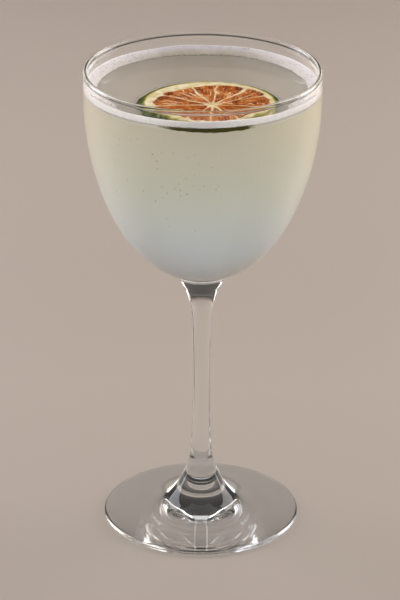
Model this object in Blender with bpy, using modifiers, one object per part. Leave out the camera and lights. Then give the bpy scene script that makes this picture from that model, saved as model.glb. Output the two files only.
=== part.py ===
# A daiquiri served up: a stemmed glass, the drink in it, the collar of froth
# along the wall and a dried lime wheel afloat.
# Units are metres, +Z is up, the origin is the middle of the foot's underside.
# The side with the lime faces -Y.

import math

import bpy
from mathutils import Vector

MM = 0.001

# --- the glass ---
GLASS_HEIGHT = 163.6 * MM
BOWL_RADIUS = 39.5 * MM          # outside, from the shoulder up to the rim
BOWL_SHOULDER = 153.5 * MM       # the wall stands upright above this height
BOWL_DEPTH = 63.3 * MM           # from the shoulder down to the bowl's outer bottom
BOWL_DROP_POWER = 1.822          # the two powers of the bowl's superellipse
BOWL_SIDE_POWER = 2.236
WALL = 1.5 * MM
BASE_THICKNESS = 3.5 * MM        # glass between the drink and the top of the stem
FOOT_RADIUS = 33.7 * MM
FOOT_EDGE_RADIUS = 0.95 * MM     # the rounded outer edge of the foot
RESTING_RING = 22.0 * MM         # inner radius of the flat ring that it stands on
PUNT_HEIGHT = 1.1 * MM           # hollow under the middle of the foot

# stem and both flares, top to bottom, as (height, radius) in mm
STEM_STATIONS = [
    (91.0, 9.00), (89.6, 7.95), (87.6, 7.00), (84.8, 5.50), (81.8, 4.54),
    (78.0, 3.75), (72.0, 3.36), (63.8, 3.14), (49.5, 3.05), (34.0, 3.18),
    (26.0, 3.55), (21.0, 4.08), (17.0, 5.30), (13.5, 6.95), (10.5, 8.60),
    (8.0, 10.80), (6.2, 13.20), (4.7, 17.00), (3.4, 23.00), (2.4, 29.00),
]

# --- the drink and its froth ---
GAP = 0.3 * MM                   # clearance between touching pieces
LEVEL = 156.9 * MM               # height of the drink's flat surface
MENISCUS_START = 33.0 * MM       # from here the surface climbs to the wall
MENISCUS_RISE = 0.7 * MM
FROTH_INNER_RADIUS = 33.3 * MM   # at the back; the collar is narrower at the sides
FROTH_SIDE_RADIUS = 34.6 * MM
FROTH_TOP = 159.4 * MM           # mean height of the froth on the wall
FROTH_TOP_SLOPE = 0.5 * MM       # higher than that at the lime's side, lower opposite

# --- the lime wheel ---
LIME_CENTRE = Vector((2.2, -15.2, 158.1)) * MM    # middle of its upper face
LIME_TILT = math.radians(-1.3)   # the side next to the wall rides higher
LIME_RADII = (22.5 * MM, 21.2 * MM)               # upper face, along X and Y
LIME_THICKNESS = 5.0 * MM
# the rind bulges beyond the upper face, as (degrees, mm); the cut was not quite square
RIND_BULGE = [(0, 0.8), (45, 0.7), (95, 0.6), (150, 0.7), (172, 1.7), (195, 2.7), (222, 2.4),
              (250, 1.5), (275, 1.2), (320, 1.0)]
FLESH_EDGE = 0.84                # mean share of the radius that is flesh; pith lies beyond
# that share by direction, as (degrees, share)
FLESH_EDGES = [(0, 0.865), (30, 0.87), (55, 0.835), (80, 0.80), (113, 0.71), (135, 0.715),
               (160, 0.775), (185, 0.795), (210, 0.87), (235, 0.845), (256, 0.915), (270, 0.905),
               (290, 0.92), (320, 0.905), (345, 0.89)]
STAR = Vector((1.0, -3.1)) * MM  # where the membranes meet, from the middle of the face
STAR_EDGE = 0.10
FLESH_SINK = 0.55 * MM           # dried flesh lies below pith and membranes
MEMBRANE_ANGLES = [30, 54, 85, 112, 151, 183, 242, 268, 298, 355]
MEMBRANE_HALF_WIDTH = 0.75 * MM

TURN_STEPS = 44
LIME_STEPS = 72


def clear_scene():
    for obj in list(bpy.data.objects):
        bpy.data.objects.remove(obj, do_unlink=True)


def make_collection(name):
    collection = bpy.data.collections.new(name)
    bpy.context.scene.collection.children.link(collection)
    return collection


def make_material(name, colour, roughness, transmission=0.0, ior=1.45):
    material = bpy.data.materials.new(name)
    material.use_nodes = True
    shader = material.node_tree.nodes["Principled BSDF"]
    shader.inputs["Base Color"].default_value = (*colour, 1.0)
    shader.inputs["Metallic"].default_value = 0.0
    shader.inputs["Roughness"].default_value = roughness
    shader.inputs["Transmission Weight"].default_value = transmission
    shader.inputs["IOR"].default_value = ior
    return material


def smooth_through(points, per_span):
    # centripetal Catmull-Rom curve through 2D points
    pts = [Vector(p) for p in points]
    pts = [2 * pts[0] - pts[1]] + pts + [2 * pts[-1] - pts[-2]]
    curve = [pts[1]]
    for p0, p1, p2, p3 in zip(pts, pts[1:], pts[2:], pts[3:]):
        t1 = (p1 - p0).length ** 0.5
        t2 = t1 + (p2 - p1).length ** 0.5
        t3 = t2 + (p3 - p2).length ** 0.5
        for i in range(1, per_span + 1):
            t = t1 + (t2 - t1) * i / per_span
            a1 = p0.lerp(p1, t / t1)
            a2 = p1.lerp(p2, (t - t1) / (t2 - t1))
            a3 = p2.lerp(p3, (t - t2) / (t3 - t2))
            b1 = a1.lerp(a2, t / t2)
            b2 = a2.lerp(a3, (t - t1) / (t3 - t1))
            curve.append(b1.lerp(b2, (t - t1) / (t2 - t1)))
    return curve


def bowl_curve(inset, bottom_inset, start, end, count):
    # (radius, height) points down a bowl surface; start and end run from
    # 0 at the shoulder to 1 at the bottom of the bowl on the axis
    points = []
    for i in range(count + 1):
        angle = math.pi / 2 * (start + (end - start) * i / count)
        drop = math.sin(angle)
        radius = (1.0 - drop ** BOWL_DROP_POWER) ** (1.0 / BOWL_SIDE_POWER)
        points.append(Vector(((BOWL_RADIUS - inset) * radius,
                              BOWL_SHOULDER - (BOWL_DEPTH - bottom_inset) * drop)))
    return points


def arc(centre, radius, from_degrees, to_degrees, count):
    points = []
    for i in range(count + 1):
        angle = math.radians(from_degrees + (to_degrees - from_degrees) * i / count)
        points.append(Vector((centre[0] + radius * math.cos(angle),
                              centre[1] + radius * math.sin(angle))))
    return points


def glass_profile():
    # up the inside of the bowl, over the rim, down the outside, under the foot
    inside = bowl_curve(WALL, BASE_THICKNESS, 0.0, 1.0, 16)[::-1]
    rim = arc((BOWL_RADIUS - WALL / 2, GLASS_HEIGHT - WALL / 2), WALL / 2, 180, 0, 6)
    outside = bowl_curve(0.0, 0.0, 0.0, 0.86, 14)
    stem = smooth_through([(r * MM, z * MM) for z, r in STEM_STATIONS], 2)
    edge_centre = (FOOT_RADIUS - FOOT_EDGE_RADIUS, FOOT_EDGE_RADIUS)
    edge = arc(edge_centre, FOOT_EDGE_RADIUS, 85, -90, 7)
    punt = [Vector((RESTING_RING * math.cos(math.pi / 2 * i / 4),
                    PUNT_HEIGHT * math.sin(math.pi / 2 * i / 4) ** 2)) for i in range(5)]
    punt[-1].x = 0.0
    return inside + rim + outside + stem + edge + punt


def drink_profile():
    # out along the surface, down beside the wall, in to the axis; heights from LEVEL
    side = bowl_curve(WALL + GAP, BASE_THICKNESS + GAP, 0.0, 1.0, 16)
    top = [Vector((0.0, LEVEL)), Vector((MENISCUS_START / 2, LEVEL)),
           Vector((MENISCUS_START, LEVEL)),
           Vector(((MENISCUS_START + side[0].x) / 2, LEVEL + 0.3 * MENISCUS_RISE)),
           Vector((side[0].x, LEVEL + MENISCUS_RISE))]
    return [Vector((p.x, p.y - LEVEL)) for p in top + side]


def froth_profile():
    # closed section of the froth collar, heights from LEVEL
    wall = BOWL_RADIUS - WALL - GAP
    inner = FROTH_INNER_RADIUS
    top = FROTH_TOP - LEVEL
    low = GAP
    return [Vector(p) for p in (
        (inner, low), (inner - 0.1 * MM, low + 0.3 * MM), (inner + 0.5 * MM, low + 0.75 * MM),
        (inner + 1.6 * MM, low + 1.05 * MM), (inner + 2.8 * MM, 0.62 * top),
        (wall - 0.5 * MM, 0.83 * top), (wall, top),
        (wall, GAP + MENISCUS_RISE),
        ((MENISCUS_START + wall) / 2, low + 0.3 * MENISCUS_RISE), (inner, low))]


def turned(name, profile, steps, collection):
    # one turned solid: the profile in the XZ plane and a Screw modifier
    mesh = bpy.data.meshes.new(name)
    closed = (profile[0] - profile[-1]).length < 1e-7
    points = profile[:-1] if closed else profile
    edges = [(i, i + 1) for i in range(len(points) - 1)]
    if closed:
        edges.append((len(points) - 1, 0))
    mesh.from_pydata([(p.x, 0.0, p.y) for p in points], edges, [])
    obj = bpy.data.objects.new(name, mesh)
    collection.objects.link(obj)
    screw = obj.modifiers.new("turn", 'SCREW')
    screw.axis = 'Z'
    screw.angle = 2 * math.pi
    screw.steps = steps
    screw.render_steps = steps
    screw.use_merge_vertices = True
    screw.merge_threshold = 0.00001
    screw.use_smooth_shade = True
    return obj


def apply_modifiers(obj):
    graph = bpy.context.evaluated_depsgraph_get()
    mesh = bpy.data.meshes.new_from_object(obj.evaluated_get(graph))
    obj.modifiers.clear()
    obj.data = mesh
    return mesh


def shade_round(obj, degrees):
    obj.data.shade_smooth()
    obj.data.set_sharp_from_angle(angle=math.radians(degrees))


def wave(angle, seed):
    # a slow, uneven outline: a few harmonics, between about -1 and 1
    return (0.5 * math.sin(2 * angle + seed) + 0.3 * math.sin(3 * angle + 2.1 * seed)
            + 0.2 * math.sin(5 * angle + 3.7 * seed))


def around(table, angle):
    # smooth value between the (degrees, value) pairs of a table that runs full circle
    degrees = math.degrees(angle) % 360.0
    stations = table + [(table[0][0] + 360, table[0][1])]
    for (start, low), (end, high) in zip(stations, stations[1:]):
        if start <= degrees <= end:
            t = (degrees - start) / (end - start)
            return low + (high - low) * t * t * (3 - 2 * t)
    return table[0][1]


def wheel_profile(thickness):
    # (share of the radius, depth below the upper face); the rind bulges, so
    # the shape function below adds the bulge by depth
    face = [(0.0, 0.0), (0.05, 0.0), (STAR_EDGE, 0.0), (0.2, 0.0), (0.35, 0.0), (0.5, 0.0),
            (0.65, 0.0), (0.78, 0.0), (FLESH_EDGE, 0.0), (0.88, 0.0), (0.96, 0.0)]
    side = [(1.0, 0.02), (1.0, 0.15), (1.0, 0.4), (1.0, 0.65), (1.0, 0.87)]
    back = [(0.96, 1.0), (0.6, 1.0), (0.0, 1.0)]
    return [Vector((r, -depth * thickness)) for r, depth in face + side + back]


def membrane_distance(x, y):
    # distance from the nearest membrane, along the wheel's face
    x, y = x - STAR.x, y - STAR.y
    best = 1.0
    for degrees in MEMBRANE_ANGLES:
        direction = Vector((math.cos(math.radians(degrees)), math.sin(math.radians(degrees))))
        along = x * direction.x + y * direction.y
        if along > 0:
            best = min(best, abs(x * direction.y - y * direction.x))
    return best


def shape_wheel(mesh, grow, straight):
    # turns a unit disc into the lime's outline, with relief on its upper face
    for vert in mesh.vertices:
        x, y, z = vert.co
        share = math.hypot(x, y)
        angle = math.atan2(y, x)
        depth = min(1.0, max(0.0, -z / LIME_THICKNESS))
        swell = math.sin(math.pi * (0.12 + 0.76 * depth)) if depth > 0 else 0.0
        if straight and depth < 0.5:
            swell = 1.0
        ripple = 1.0 + 0.008 * wave(angle, 1.3)
        beyond = around(RIND_BULGE, angle) * MM * swell + grow
        inward = 0.0
        if depth == 0.0:
            edge = around(FLESH_EDGES, angle)
            if share <= FLESH_EDGE:
                inward = 1.0 - share / FLESH_EDGE
                share = share * edge / FLESH_EDGE
            else:
                share = 1.0 - (1.0 - share) * (1.0 - edge) / (1.0 - FLESH_EDGE)
        vert.co.x = (LIME_RADII[0] * ripple + beyond) * math.cos(angle) * share + STAR.x * inward
        vert.co.y = (LIME_RADII[1] * ripple + beyond) * math.sin(angle) * share + STAR.y * inward
        if grow == 0.0 and depth == 0.0 and 0.0 < inward < 1.0 - STAR_EDGE:
            away = membrane_distance(vert.co.x, vert.co.y)
            sink = min(1.0, away / (2.0 * MEMBRANE_HALF_WIDTH))
            vert.co.z -= FLESH_SINK * sink
        elif grow == 0.0 and depth == 0.0 and share > 0.93:
            vert.co.z -= 0.15 * MM


def make_wheel(name, grow, straight, collection):
    obj = turned(name, wheel_profile(LIME_THICKNESS), LIME_STEPS, collection)
    mesh = apply_modifiers(obj)
    shape_wheel(mesh, grow, straight)
    obj.location = LIME_CENTRE
    obj.rotation_euler = (LIME_TILT, 0.0, 0.0)
    return obj


def make_pocket(name, straight, collection):
    # the room that the lime takes up, open upwards; a straight pocket keeps
    # the width of the bulging rind all the way up
    pocket = make_wheel(name, GAP, straight, collection)
    for vert in pocket.data.vertices:
        if vert.co.z > -0.1 * LIME_THICKNESS:
            vert.co.z += 6.0 * MM
        elif vert.co.z < -0.95 * LIME_THICKNESS:
            vert.co.z -= GAP
    pocket.hide_render = True
    pocket.display_type = 'WIRE'
    return pocket


def cut_out(obj, cutter):
    cut = obj.modifiers.new("pocket", 'BOOLEAN')
    cut.operation = 'DIFFERENCE'
    cut.solver = 'EXACT'
    cut.object = cutter


def make_glass(collection):
    obj = turned("glass", glass_profile(), TURN_STEPS, collection)
    obj.data.materials.append(make_material("clear_glass", (0.95, 0.96, 0.96), 0.02, 1.0, 1.5))
    return obj


def make_drink(collection, pocket):
    obj = turned("drink", drink_profile(), TURN_STEPS, collection)
    obj.location.z = LEVEL
    obj.data.materials.append(make_material("cloudy_lime_rum", (0.55, 0.56, 0.46), 0.1, 0.3, 1.35))
    cut_out(obj, pocket)
    return obj


def make_froth(collection, pocket):
    obj = turned("foam_ring", froth_profile(), TURN_STEPS, collection)
    mesh = apply_modifiers(obj)
    wall = BOWL_RADIUS - WALL - GAP
    for vert in mesh.vertices:
        angle = math.atan2(vert.co.y, vert.co.x)
        radius = math.hypot(vert.co.x, vert.co.y)
        inner = FROTH_INNER_RADIUS + (FROTH_SIDE_RADIUS - FROTH_INNER_RADIUS) * abs(math.cos(angle))
        stretch = (wall - (wall - radius) * (wall - inner) / (wall - FROTH_INNER_RADIUS)) / radius
        vert.co.x *= stretch
        vert.co.y *= stretch
        height = max(0.0, vert.co.z - GAP - MENISCUS_RISE) / (FROTH_TOP - LEVEL)
        vert.co.z += height * (0.15 * MM * wave(angle, 0.4) - FROTH_TOP_SLOPE * math.sin(angle))
    obj.location.z = LEVEL
    mesh.materials.append(make_material("shaken_froth", (0.80, 0.77, 0.74), 0.7))
    shade_round(obj, 50)
    cut_out(obj, pocket)
    return obj


def make_lime(collection):
    obj = make_wheel("lime_wheel", 0.0, False, collection)
    obj.data.materials.append(make_material("dried_lime", (0.45, 0.22, 0.08), 0.6))
    shade_round(obj, 35)
    return obj


def build():
    clear_scene()
    parts = make_collection("daiquiri")
    cutters = make_collection("cutters")
    root = bpy.data.objects.new("daiquiri_root", None)
    parts.objects.link(root)
    drink_pocket = make_pocket("drink_pocket", True, cutters)
    froth_pocket = make_pocket("froth_pocket", False, cutters)
    pieces = [make_glass(parts), make_drink(parts, drink_pocket),
              make_froth(parts, froth_pocket), make_lime(parts)]
    for obj in pieces + [drink_pocket, froth_pocket]:
        obj.parent = root


build()
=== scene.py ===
import math

import bpy
import numpy as np
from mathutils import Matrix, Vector


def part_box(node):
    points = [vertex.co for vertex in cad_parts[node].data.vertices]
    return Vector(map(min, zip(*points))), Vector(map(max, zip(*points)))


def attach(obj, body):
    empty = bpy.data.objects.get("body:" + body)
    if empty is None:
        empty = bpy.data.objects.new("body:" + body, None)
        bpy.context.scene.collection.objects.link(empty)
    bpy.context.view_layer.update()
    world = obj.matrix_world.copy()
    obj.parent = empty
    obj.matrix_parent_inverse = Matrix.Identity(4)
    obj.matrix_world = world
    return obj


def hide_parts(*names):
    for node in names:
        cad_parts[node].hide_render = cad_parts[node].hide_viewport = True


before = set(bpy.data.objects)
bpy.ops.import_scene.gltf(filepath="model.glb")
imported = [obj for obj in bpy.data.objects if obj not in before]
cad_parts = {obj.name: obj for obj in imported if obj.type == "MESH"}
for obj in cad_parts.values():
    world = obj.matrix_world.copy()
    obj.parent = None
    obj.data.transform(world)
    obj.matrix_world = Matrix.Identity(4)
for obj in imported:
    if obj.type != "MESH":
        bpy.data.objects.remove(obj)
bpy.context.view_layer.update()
glassLow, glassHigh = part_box("glass")
drinkLow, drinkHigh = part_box("drink")
mm = 0.001
print("frame loaded, glass", round((glassHigh.z - glassLow.z) / mm, 1), "mm tall")


# helpers shared by all pieces

def srgb(hexCode):
    # sRGB hex colour to linear RGBA
    values = [int(hexCode[i:i + 2], 16) / 255 for i in (1, 3, 5)]
    return tuple(v / 12.92 if v <= 0.04045 else ((v + 0.055) / 1.055) ** 2.4 for v in values) + (1.0,)


def addNode(tree, kind, inputs=None, ramp=None, **settings):
    # adds one node; an input is a value or another node's output socket
    node = tree.nodes.new(kind)
    for name, value in settings.items():
        setattr(node, name, value)
    if ramp:
        stops = node.color_ramp.elements
        while len(stops) < len(ramp):
            stops.new(0.5)
        for stop, (place, colour) in zip(stops, ramp):
            stop.position = place
            stop.color = srgb(colour)
    for socket, value in (inputs or {}).items():
        if isinstance(value, bpy.types.NodeSocket):
            tree.links.new(value, node.inputs[socket])
        else:
            node.inputs[socket].default_value = value
    return node


def newMaterial(name):
    material = bpy.data.materials.new(name)
    material.use_nodes = True
    tree = material.node_tree
    tree.nodes.clear()
    return material, tree


def linkPiece(name, mesh):
    piece = bpy.data.objects.new(name, mesh)
    bpy.context.scene.collection.objects.link(piece)
    return piece


def meshPiece(name, points, faces, materials):
    mesh = bpy.data.meshes.new(name)
    mesh.from_pydata([tuple(p) for p in points], [], faces)
    for material in materials:
        mesh.materials.append(material)
    mesh.shade_smooth()
    return linkPiece(name, mesh)


def ringFaces(rows, around, closed=False):
    # quads between rows of points that run around the axis
    faces = []
    for r in range(rows if closed else rows - 1):
        a, b = r * around, ((r + 1) % rows) * around
        faces += [(a + i, b + i, b + (i + 1) % around, a + (i + 1) % around) for i in range(around)]
    return faces


def setAttribute(piece, name, values):
    attribute = piece.data.attributes.new(name, "FLOAT", "POINT")
    attribute.data.foreach_set("value", np.asarray(values, np.float32))


def getPoints(piece):
    points = np.empty(len(piece.data.vertices) * 3, np.float32)
    piece.data.vertices.foreach_get("co", points)
    return points.reshape(-1, 3).astype(float)


def setPoints(piece, points):
    piece.data.vertices.foreach_set("co", points.astype(np.float32).ravel())
    piece.data.update()


def flatten(piece):
    # turns what the modifiers make into a plain mesh
    graph = bpy.context.evaluated_depsgraph_get()
    mesh = bpy.data.meshes.new_from_object(piece.evaluated_get(graph))
    piece.modifiers.clear()
    piece.data = mesh
    return piece


def turnProfile(name, profile, steps, materials):
    # a turned piece: (radius, height) points that start and end on the axis
    mesh = bpy.data.meshes.new(name)
    mesh.from_pydata([(r, 0.0, z) for r, z in profile], [(i, i + 1) for i in range(len(profile) - 1)], [])
    for material in materials:
        mesh.materials.append(material)
    piece = linkPiece(name, mesh)
    screw = piece.modifiers.new("turn", "SCREW")
    screw.axis = "Z"
    screw.angle = 2 * math.pi
    screw.steps = screw.render_steps = steps
    screw.use_merge_vertices = True
    screw.merge_threshold = 0.000002
    screw.use_smooth_shade = True
    return flatten(piece)


def scatterTree(name, inputs, attribute):
    # a Geometry Nodes tree with named inputs that strews points where an attribute of the surface says
    kinds = {float: "NodeSocketFloat", int: "NodeSocketInt", tuple: "NodeSocketVector",
             bpy.types.Material: "NodeSocketMaterial"}
    tree = bpy.data.node_groups.new(name, "GeometryNodeTree")
    for inOut in ("INPUT", "OUTPUT"):
        tree.interface.new_socket("Geometry", in_out=inOut, socket_type="NodeSocketGeometry")
    for label, value in inputs.items():
        tree.interface.new_socket(label, in_out="INPUT", socket_type=kinds[type(value)])
    given = addNode(tree, "NodeGroupInput").outputs
    where = addNode(tree, "GeometryNodeInputNamedAttribute", {"Name": attribute}, data_type="FLOAT")
    density = addNode(tree, "ShaderNodeMath", {0: where.outputs["Attribute"], 1: given["Count per area"]},
                      operation="MULTIPLY")
    scatter = addNode(tree, "GeometryNodeDistributePointsOnFaces", {
        "Mesh": given["Geometry"], "Density": density.outputs[0], "Seed": given["Seed"]})
    return tree, given, scatter.outputs


def growInstances(piece, tree, given, inputs, instances):
    # makes the instances real, gives them their material and leaves the piece a plain mesh
    real = addNode(tree, "GeometryNodeRealizeInstances", {"Geometry": instances})
    dressed = addNode(tree, "GeometryNodeSetMaterial", {"Geometry": real.outputs["Geometry"],
                                                        "Material": given["Material"]})
    addNode(tree, "NodeGroupOutput", {"Geometry": dressed.outputs["Geometry"]})
    modifier = piece.modifiers.new(tree.name, "NODES")
    modifier.node_group = tree
    for item in tree.interface.items_tree:
        if item.in_out == "INPUT" and item.name in inputs:
            modifier[item.identifier] = inputs[item.name]
    return flatten(piece)


def smoothStep(low, high, value):
    t = np.clip((value - low) / (high - low), 0.0, 1.0)
    return t * t * (3 - 2 * t)


def aroundTable(table, angle):
    # smooth value between the (degrees, value) pairs of a table that runs full circle
    degrees = np.degrees(angle) % 360.0
    places = np.array([p for p, _ in table] + [table[0][0] + 360.0])
    values = np.array([v for _, v in table] + [table[0][1]])
    index = np.clip(np.searchsorted(places, degrees, "right") - 1, 0, len(table) - 1)
    t = (degrees - places[index]) / (places[index + 1] - places[index])
    return values[index] + (values[index + 1] - values[index]) * t * t * (3 - 2 * t)


def ringNoise(angle, seed, waves):
    # a smooth periodic wobble around the axis, about -1 to 1
    rng = np.random.default_rng(seed)
    total = sum(rng.normal() * np.cos(n * angle + rng.uniform(0, 6.28)) / math.sqrt(n) for n in waves)
    return total / math.sqrt(sum(1 / n for n in waves))


def valueNoise(points, scale, seed):
    # smooth 3D value noise, -1 to 1
    table = np.random.default_rng(seed).uniform(-1, 1, 4096)
    places = points / scale
    base = np.floor(places).astype(int)
    t = places - base
    t = t * t * (3 - 2 * t)
    total = np.zeros(len(points))
    for corner in np.ndindex(2, 2, 2):
        cell = base + np.array(corner)
        key = (cell[:, 0] * 73856093 ^ cell[:, 1] * 19349663 ^ cell[:, 2] * 83492791) & 4095
        total += np.prod(np.where(corner, t, 1 - t), axis=1) * table[key]
    return total


# the glass: machine-blown crystalline glass, drawn stem, fire-polished rim

glassValues = {
    "bowlRadius": glassHigh.x,
    "height": glassHigh.z,
    "shoulder": 153.5 * mm,          # the wall is upright above this
    "bowlDepth": 63.3 * mm,
    "dropPower": 1.822,
    "sidePower": 2.236,
    "wall": 1.5 * mm,
    # below the rim as (mm down, half thickness in mm)
    "waist": [(3.2, 0.72), (2.4, 0.66), (1.75, 0.585), (1.4, 0.58), (1.1, 0.665), (0.75, 0.75)],
    "base": 3.5 * mm,
    "footRadius": 33.7 * mm,
    "footEdge": 0.95 * mm,
    "restingRing": 22.0 * mm,
    "punt": 1.1 * mm,
    # stem and flares as (height, radius) in mm
    "stem": [(91.0, 9.00), (89.6, 7.95), (87.6, 7.00), (84.8, 5.50), (81.8, 4.54), (78.0, 3.75),
             (72.0, 3.36), (63.8, 3.14), (49.5, 3.05), (34.0, 3.18), (26.0, 3.55), (21.0, 4.08),
             (17.0, 5.30), (13.5, 6.95), (10.5, 8.60), (8.0, 10.80), (6.2, 13.20), (4.7, 17.00),
             (3.4, 23.00), (2.4, 29.00)],
    # share of the radius by which the stem is out of round, between these heights
    "stemUneven": 0.018,
    "unevenFrom": (16 * mm, 30 * mm),
    "unevenTo": (88 * mm, 80 * mm),
    "unevenSeed": 51,
    "turnSteps": 320,
    "ior": 1.5,
}


def bowlCurve(inset, bottomInset, start, end, count):
    # superellipse down the bowl, start and end from 0 (shoulder) to 1 (bottom, on the axis)
    g = glassValues
    drop = np.sin(np.pi / 2 * np.linspace(start, end, count + 1))
    radius = np.maximum(1 - drop ** g["dropPower"], 0) ** (1 / g["sidePower"])
    return list(zip((g["bowlRadius"] - inset) * radius,
                    g["shoulder"] - (g["bowlDepth"] - bottomInset) * drop))


def arcPoints(centre, radius, fromDegrees, toDegrees, count):
    angles = np.radians(np.linspace(fromDegrees, toDegrees, count + 1))
    return list(zip(centre[0] + radius * np.cos(angles), centre[1] + radius * np.sin(angles)))


def smoothThrough(stations, perSpan):
    # centripetal Catmull-Rom curve through 2D stations
    pts = [np.array(p, float) for p in stations]
    pts = [2 * pts[0] - pts[1]] + pts + [2 * pts[-1] - pts[-2]]
    curve = [pts[1]]
    for p0, p1, p2, p3 in zip(pts, pts[1:], pts[2:], pts[3:]):
        t1 = math.dist(p0, p1) ** 0.5
        t2 = t1 + math.dist(p1, p2) ** 0.5
        t3 = t2 + math.dist(p2, p3) ** 0.5
        for t in np.linspace(t1, t2, perSpan + 1)[1:]:
            a1 = p0 + (p1 - p0) * t / t1
            a2 = p1 + (p2 - p1) * (t - t1) / (t2 - t1)
            a3 = p2 + (p3 - p2) * (t - t2) / (t3 - t2)
            b1 = a1 + (a2 - a1) * t / t2
            b2 = a2 + (a3 - a2) * (t - t1) / (t3 - t1)
            curve.append(b1 + (b2 - b1) * (t - t1) / (t2 - t1))
    return [tuple(p) for p in curve]


def glassProfile():
    g = glassValues
    half = g["wall"] / 2
    middle = g["bowlRadius"] - half
    inside = bowlCurve(g["wall"], g["base"], 0.0, 1.0, 48)[::-1]
    # the wall thins a little under the rounded rim
    waist = smoothThrough([(half, g["shoulder"] + 6.0 * mm)] + [(t * mm, g["height"] - down * mm)
                                                                for down, t in g["waist"]], 5)
    arc = arcPoints((middle, g["height"] - half), half, 180, 0, 22)
    rim = [(middle - t, z) for t, z in waist] + arc[1:-1] + [(middle + t, z) for t, z in waist[::-1]]
    outside = bowlCurve(0.0, 0.0, 0.0, 0.86, 44)
    stem = smoothThrough([(r * mm, z * mm) for z, r in g["stem"]], 4)
    edge = arcPoints((g["footRadius"] - g["footEdge"], g["footEdge"]), g["footEdge"], 85, -90, 16)
    turns = np.linspace(0, np.pi / 2, 13)
    punt = list(zip(g["restingRing"] * np.cos(turns), g["punt"] * np.sin(turns) ** 2))
    punt[-1] = (0.0, g["punt"])
    return inside + rim + outside + stem + edge + punt


def glassMaterial():
    # soda-lime glass, fire-polished: colourless and sharp, lamps reach what it holds
    material, tree = newMaterial("fire_polished_glass")
    shader = addNode(tree, "ShaderNodeBsdfPrincipled", {
        "Base Color": srgb("#fdfefe"), "Roughness": 0.0, "IOR": glassValues["ior"],
        "Transmission Weight": 1.0})
    clear = addNode(tree, "ShaderNodeBsdfTransparent", {"Color": srgb("#feffff")})
    path = addNode(tree, "ShaderNodeLightPath")
    mix = addNode(tree, "ShaderNodeMixShader", {0: path.outputs["Is Shadow Ray"],
                                                1: shader.outputs["BSDF"], 2: clear.outputs["BSDF"]})
    addNode(tree, "ShaderNodeOutputMaterial", {"Surface": mix.outputs["Shader"]})
    return material


def makeGlass():
    g = glassValues
    piece = turnProfile("stemmedGlass", glassProfile(), g["turnSteps"], [glassMaterial()])
    # a drawn stem is not quite round, which streaks what shows through it
    points = getPoints(piece)
    x, y, z = points.T
    inStem = smoothStep(*g["unevenFrom"], z) * smoothStep(*g["unevenTo"], z)
    uneven = ringNoise(np.arctan2(y, x) + z * 3.0, g["unevenSeed"], range(3, 15))
    points[:, :2] *= (1 + g["stemUneven"] * inStem * uneven)[:, None]
    setPoints(piece, points)
    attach(piece, "root")
    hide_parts("glass")
    print("glass", len(piece.data.polygons), "faces")


# the lime wheel: a slice of lime dried at low heat

limeValues = {
    "centre": (2.2 * mm, -15.2 * mm, 158.1 * mm),   # middle of the upper face
    "tilt": math.radians(-1.3),
    "radii": (22.5 * mm, 21.2 * mm),
    "thickness": 5.0 * mm,
    # rind beyond the upper face as (degrees, mm)
    "bulge": [(0, 0.8), (45, 0.7), (95, 0.6), (150, 0.7), (172, 1.7), (195, 2.7), (222, 2.4),
              (250, 1.5), (275, 1.2), (320, 1.0)],
    # share of the radius that is flesh, by direction
    "fleshEdge": [(0, 0.865), (30, 0.87), (55, 0.835), (80, 0.80), (113, 0.71), (135, 0.715),
                  (160, 0.775), (185, 0.795), (210, 0.87), (235, 0.845), (256, 0.915), (270, 0.905),
                  (290, 0.92), (320, 0.905), (345, 0.89)],
    "star": (1.0 * mm, -3.1 * mm),
    # membranes from the star as (degrees, half width in mm)
    "membranes": [(30, 0.20), (54, 0.45), (85, 0.26), (112, 0.42), (151, 0.34), (183, 0.30),
                  (242, 0.24), (268, 0.36), (298, 0.34), (355, 0.26)],
    # where the dark rind begins, as share of the radius by direction
    "rindEdge": [(0, 0.96), (20, 0.95), (45, 0.95), (75, 0.962), (95, 0.958), (120, 0.945), (150, 0.94),
                 (170, 0.945), (200, 0.965), (240, 0.975), (275, 0.965), (300, 0.985), (325, 1.01), (345, 0.98)],
    # pale walls between sacs as (degrees, from mm, to mm off the star)
    "sacWalls": [(93, 10, 14), (119, 11, 15), (127, 10, 17), (135, 11, 17), (143, 10, 17), (160, 10, 16),
                 (171, 11, 16), (197, 10, 16), (214, 11, 15), (68, 11, 15), (42, 11, 16), (12, 11, 16),
                 (330, 10, 15), (312, 10, 14), (283, 8, 12), (255, 8, 12)],
    "sink": 0.85 * mm,               # flesh below the pith
    # a hump in the rind at the front right: angle and width in radians, height
    "hump": (5.45, 0.26, 0.55 * mm),
    # where the pale pith runs on down the side: angle and width in radians, share of the thickness
    "paleSide": (5.6, 0.35, 0.3),
    # a nick that shows rind: angle and width in degrees, place and width as share of the radius
    "nick": (338, 5, 0.88, 0.022),
    "around": 640,
    "faceRings": 112,
    "sideRings": 30,
    "sacCount": 800,
    "sacArea": 1100 * mm * mm,       # flesh that the count is meant for
    "sacLength": 1.8 * mm,
    "sacWidth": 0.38 * mm,
}


def limeOutline(angle, swell):
    # outline of the wheel where the rind swells by that share
    v = limeValues
    ripple = 1 + 0.008 * (0.5 * np.sin(2 * angle + 1.3) + 0.3 * np.sin(3 * angle + 2.73)
                          + 0.2 * np.sin(5 * angle + 4.81))
    beyond = aroundTable(v["bulge"], angle) * mm * swell
    return ((v["radii"][0] * ripple + beyond) * np.cos(angle),
            (v["radii"][1] * ripple + beyond) * np.sin(angle))


def limeSwell(depth):
    # the rind bulges out just under the face and draws in again towards the back
    return np.sin(np.pi * (0.22 + 0.66 * np.clip(depth, 0, 1)))


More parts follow.
